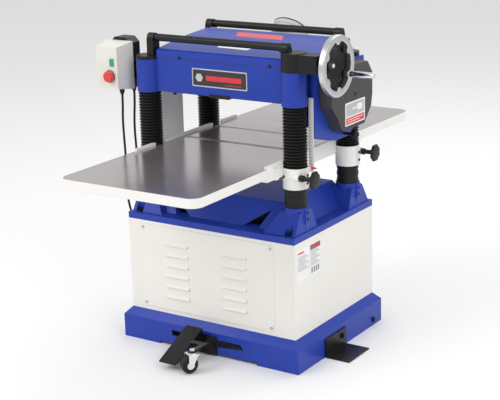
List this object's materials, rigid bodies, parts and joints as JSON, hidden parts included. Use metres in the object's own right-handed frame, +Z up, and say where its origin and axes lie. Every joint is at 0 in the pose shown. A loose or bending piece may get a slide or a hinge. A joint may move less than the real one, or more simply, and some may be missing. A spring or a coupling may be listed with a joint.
{
  "type": "thickness planer",
  "caption": "Four-post thickness planer: rising bed with long extensions under a fixed cutter head, handwheel lift, feed gearbox, belt guard and louvred cabinet on a wheeled plinth.",
  "frame": {"origin": "middle of the footprint, on the floor", "axes": "+X across the table towards the handwheel, +Y in the feed direction, +Z up"},
  "size_m": [1.01, 1.396, 1.112],
  "materials": {
    "blue_paint": "satin",
    "white_casting": "satin",
    "cabinet_paint": "satin",
    "polished_bed": "ground",
    "black_plastic": "satin",
    "black_steel": "satin",
    "grey_cover": "moulded",
    "grey_sheet": "satin",
    "bare_steel": "machined",
    "polished_rim": "polished",
    "chrome": "bright",
    "rubber": "matte",
    "cream_plastic": "moulded",
    "green_plastic": "gloss",
    "red_plastic": "gloss",
    "plate_black": "printed"
  },
  "bodies": {
    "frame": {"plinth": "blue_paint", "cabinet": "cabinet_paint", "access_panel": "cabinet_paint", "machine_bolts": "black_steel", "floor_brackets": "black_steel", "base_casting": "blue_paint", "columns": "bare_steel", "lower_boots": "rubber", "upper_bellows": "rubber", "head_casting": "blue_paint", "gearbox_housing": "blue_paint", "gear_cover": "grey_cover", "pressure_bars": "bare_steel", "top_cover": "blue_paint", "dust_hood": "grey_sheet", "column_caps": "black_plastic", "roller_brackets": "black_steel", "head_plates": "plate_black", "motor": "grey_sheet", "drive_belts": "rubber", "belt_guard": "grey_sheet", "drive_chains": "bare_steel", "switch_lid": "cream_plastic", "switch_housing": "black_plastic", "cable_glands": "black_plastic", "motor_lead": "rubber", "supply_lead": "rubber"},
    "table": {"main_table": "white_casting", "infeed_extension": "white_casting", "outfeed_extension": "white_casting", "table_bolts": "black_steel", "lead_nuts": "bare_steel", "scale_pointer": "red_plastic"},
    "cutterhead_block": {"cutterhead": "bare_steel", "cutter_knives": "bare_steel"},
    "lead_screw_front_left_body": {"lead_screw_front_left": "bare_steel"},
    "lead_screw_rear_left_body": {"lead_screw_rear_left": "bare_steel"},
    "lead_screw_front_right_body": {"lead_screw_front_right": "bare_steel"},
    "lead_screw_rear_right_body": {"lead_screw_rear_right": "bare_steel"},
    "bed_roller_front_body": {"bed_roller_front": "bare_steel"},
    "bed_roller_rear_body": {"bed_roller_rear": "bare_steel"},
    "lock_knob_front_body": {"lock_knob_front": "black_plastic"},
    "lock_knob_rear_body": {"lock_knob_rear": "black_plastic"},
    "infeed_roller_body": {"infeed_roller": "bare_steel"},
    "outfeed_roller_body": {"outfeed_roller": "rubber"},
    "feed_gear_body": {"feed_gear": "bare_steel"},
    "anti_kickback_fingers_body": {"anti_kickback_fingers": "bare_steel"},
    "return_roller_front_body": {"return_roller_front": "black_plastic"},
    "return_roller_rear_body": {"return_roller_rear": "black_plastic"},
    "handwheel_body": {"handwheel": "polished_rim"},
    "handwheel_grip_body": {"handwheel_grip": "chrome"},
    "motor_pulley_body": {"motor_pulley": "bare_steel"},
    "start_button_body": {"start_button": "green_plastic"},
    "stop_button_body": {"stop_button": "red_plastic"},
    "pedal_body": {"pedal": "black_steel"},
    "caster_fork_body": {"caster_fork": "chrome"},
    "caster_wheel_body": {"caster_wheel": "black_plastic"},
    "rear_wheel_left_body": {"rear_wheel_left": "black_plastic"},
    "rear_wheel_right_body": {"rear_wheel_right": "black_plastic"},
    "shift_knob_body": {"shift_knob": "black_plastic"}
  },
  "joints": [
    {"name": "table_lift", "type": "slide", "parent": "frame", "child": "table", "axis": [0, 0, 1], "range_m": [0, 0.178], "deforming": ["upper_bellows", "lower_boots"]},
    {"name": "handwheel_turn", "type": "hinge", "parent": "frame", "child": "handwheel_body", "pos_m": [0.362, -0.173, 1.014], "axis": [1, 0, 0], "range_deg": [0, 16019]},
    {"name": "grip_spin", "type": "hinge", "parent": "handwheel_body", "child": "handwheel_grip_body", "pos_m": [0.418, -0.1059, 0.97832], "axis": [1, 0, 0], "continuous": true},
    {"name": "screw_turn_front_left", "type": "hinge", "parent": "frame", "child": "lead_screw_front_left_body", "pos_m": [-0.328, -0.173, 0.7], "axis": [0, 0, 1], "range_deg": [0, 16020]},
    {"name": "screw_turn_rear_left", "type": "hinge", "parent": "frame", "child": "lead_screw_rear_left_body", "pos_m": [-0.328, 0.173, 0.7], "axis": [0, 0, 1], "range_deg": [0, 16020]},
    {"name": "screw_turn_front_right", "type": "hinge", "parent": "frame", "child": "lead_screw_front_right_body", "pos_m": [0.252, -0.173, 0.7], "axis": [0, 0, 1], "range_deg": [0, 16020]},
    {"name": "screw_turn_rear_right", "type": "hinge", "parent": "frame", "child": "lead_screw_rear_right_body", "pos_m": [0.252, 0.173, 0.7], "axis": [0, 0, 1], "range_deg": [0, 16020]},
    {"name": "bed_roller_spin_front", "type": "hinge", "parent": "table", "child": "bed_roller_front_body", "pos_m": [-0.038, -0.045, 0.6703], "axis": [1, 0, 0], "continuous": true},
    {"name": "bed_roller_spin_rear", "type": "hinge", "parent": "table", "child": "bed_roller_rear_body", "pos_m": [-0.038, 0.142, 0.6703], "axis": [1, 0, 0], "continuous": true},
    {"name": "lock_turn_front", "type": "hinge", "parent": "table", "child": "lock_knob_front_body", "pos_m": [0.292, -0.205, 0.645], "axis": [1, 0, 0], "range_deg": [0, 150]},
    {"name": "lock_turn_rear", "type": "hinge", "parent": "table", "child": "lock_knob_rear_body", "pos_m": [0.292, 0.205, 0.645], "axis": [1, 0, 0], "range_deg": [0, 150]},
    {"name": "cutter_spin", "type": "hinge", "parent": "frame", "child": "cutterhead_block", "pos_m": [-0.038, 0, 0.9115], "axis": [1, 0, 0], "continuous": true},
    {"name": "motor_spin", "type": "hinge", "parent": "frame", "child": "motor_pulley_body", "pos_m": [-0.388, 0, 0.29], "axis": [1, 0, 0], "continuous": true},
    {"name": "feed_gear_spin", "type": "hinge", "parent": "frame", "child": "feed_gear_body", "pos_m": [0.262, 0, 0.8505], "axis": [1, 0, 0], "continuous": true},
    {"name": "infeed_spin", "type": "hinge", "parent": "frame", "child": "infeed_roller_body", "pos_m": [-0.038, -0.095, 0.9015], "axis": [1, 0, 0], "continuous": true},
    {"name": "outfeed_spin", "type": "hinge", "parent": "frame", "child": "outfeed_roller_body", "pos_m": [-0.038, 0.095, 0.9015], "axis": [1, 0, 0], "continuous": true},
    {"name": "finger_swing", "type": "hinge", "parent": "frame", "child": "anti_kickback_fingers_body", "pos_m": [-0.038, -0.144, 0.922], "axis": [1, 0, 0], "range_deg": [0, 15]},
    {"name": "return_roller_spin_front", "type": "hinge", "parent": "frame", "child": "return_roller_front_body", "pos_m": [-0.038, -0.173, 1.059], "axis": [1, 0, 0], "continuous": true},
    {"name": "return_roller_spin_rear", "type": "hinge", "parent": "frame", "child": "return_roller_rear_body", "pos_m": [-0.038, 0.173, 1.059], "axis": [1, 0, 0], "continuous": true},
    {"name": "shift_knob_push", "type": "slide", "parent": "frame", "child": "shift_knob_body", "axis": [1, 0, 0], "range_m": [-0.008, 0.008]},
    {"name": "start_press", "type": "slide", "parent": "frame", "child": "start_button_body", "axis": [0, 1, 0], "range_m": [0, 0.003], "stiffness_N_per_m": 400},
    {"name": "stop_press", "type": "slide", "parent": "frame", "child": "stop_button_body", "axis": [0, 1, 0], "range_m": [0, 0.005], "stiffness_N_per_m": 400},
    {"name": "pedal_release", "type": "hinge", "parent": "frame", "child": "pedal_body", "pos_m": [-0.0775, -0.322, 0.072], "axis": [-1, 0, 0], "range_deg": [0, 12]},
    {"name": "caster_swivel", "type": "hinge", "parent": "pedal_body", "child": "caster_fork_body", "pos_m": [0.004, -0.44, 0.06], "axis": [0, 0, 1], "continuous": true},
    {"name": "caster_roll", "type": "hinge", "parent": "caster_fork_body", "child": "caster_wheel_body", "pos_m": [-0.0025, -0.45126, 0.0305], "axis": [0.866, -0.5, 0], "continuous": true},
    {"name": "rear_wheel_roll_left", "type": "hinge", "parent": "frame", "child": "rear_wheel_left_body", "pos_m": [-0.378, 0.228, 0.0215], "axis": [1, 0, 0], "continuous": true},
    {"name": "rear_wheel_roll_right", "type": "hinge", "parent": "frame", "child": "rear_wheel_right_body", "pos_m": [0.302, 0.228, 0.0215], "axis": [1, 0, 0], "continuous": true}
  ],
  "couplings": [
    {"joint": "table_lift", "follows": "handwheel_turn", "m_per_rad": 0.00063662},
    {"joint": "screw_turn_front_left", "follows": "handwheel_turn", "ratio": 1},
    {"joint": "screw_turn_rear_left", "follows": "handwheel_turn", "ratio": 1},
    {"joint": "screw_turn_front_right", "follows": "handwheel_turn", "ratio": 1},
    {"joint": "screw_turn_rear_right", "follows": "handwheel_turn", "ratio": 1},
    {"joint": "motor_spin", "follows": "cutter_spin", "ratio": 0.58064},
    {"joint": "feed_gear_spin", "follows": "cutter_spin", "ratio": -0.25},
    {"joint": "infeed_spin", "follows": "cutter_spin", "ratio": -0.15909},
    {"joint": "outfeed_spin", "follows": "cutter_spin", "ratio": -0.15909}
  ]
}
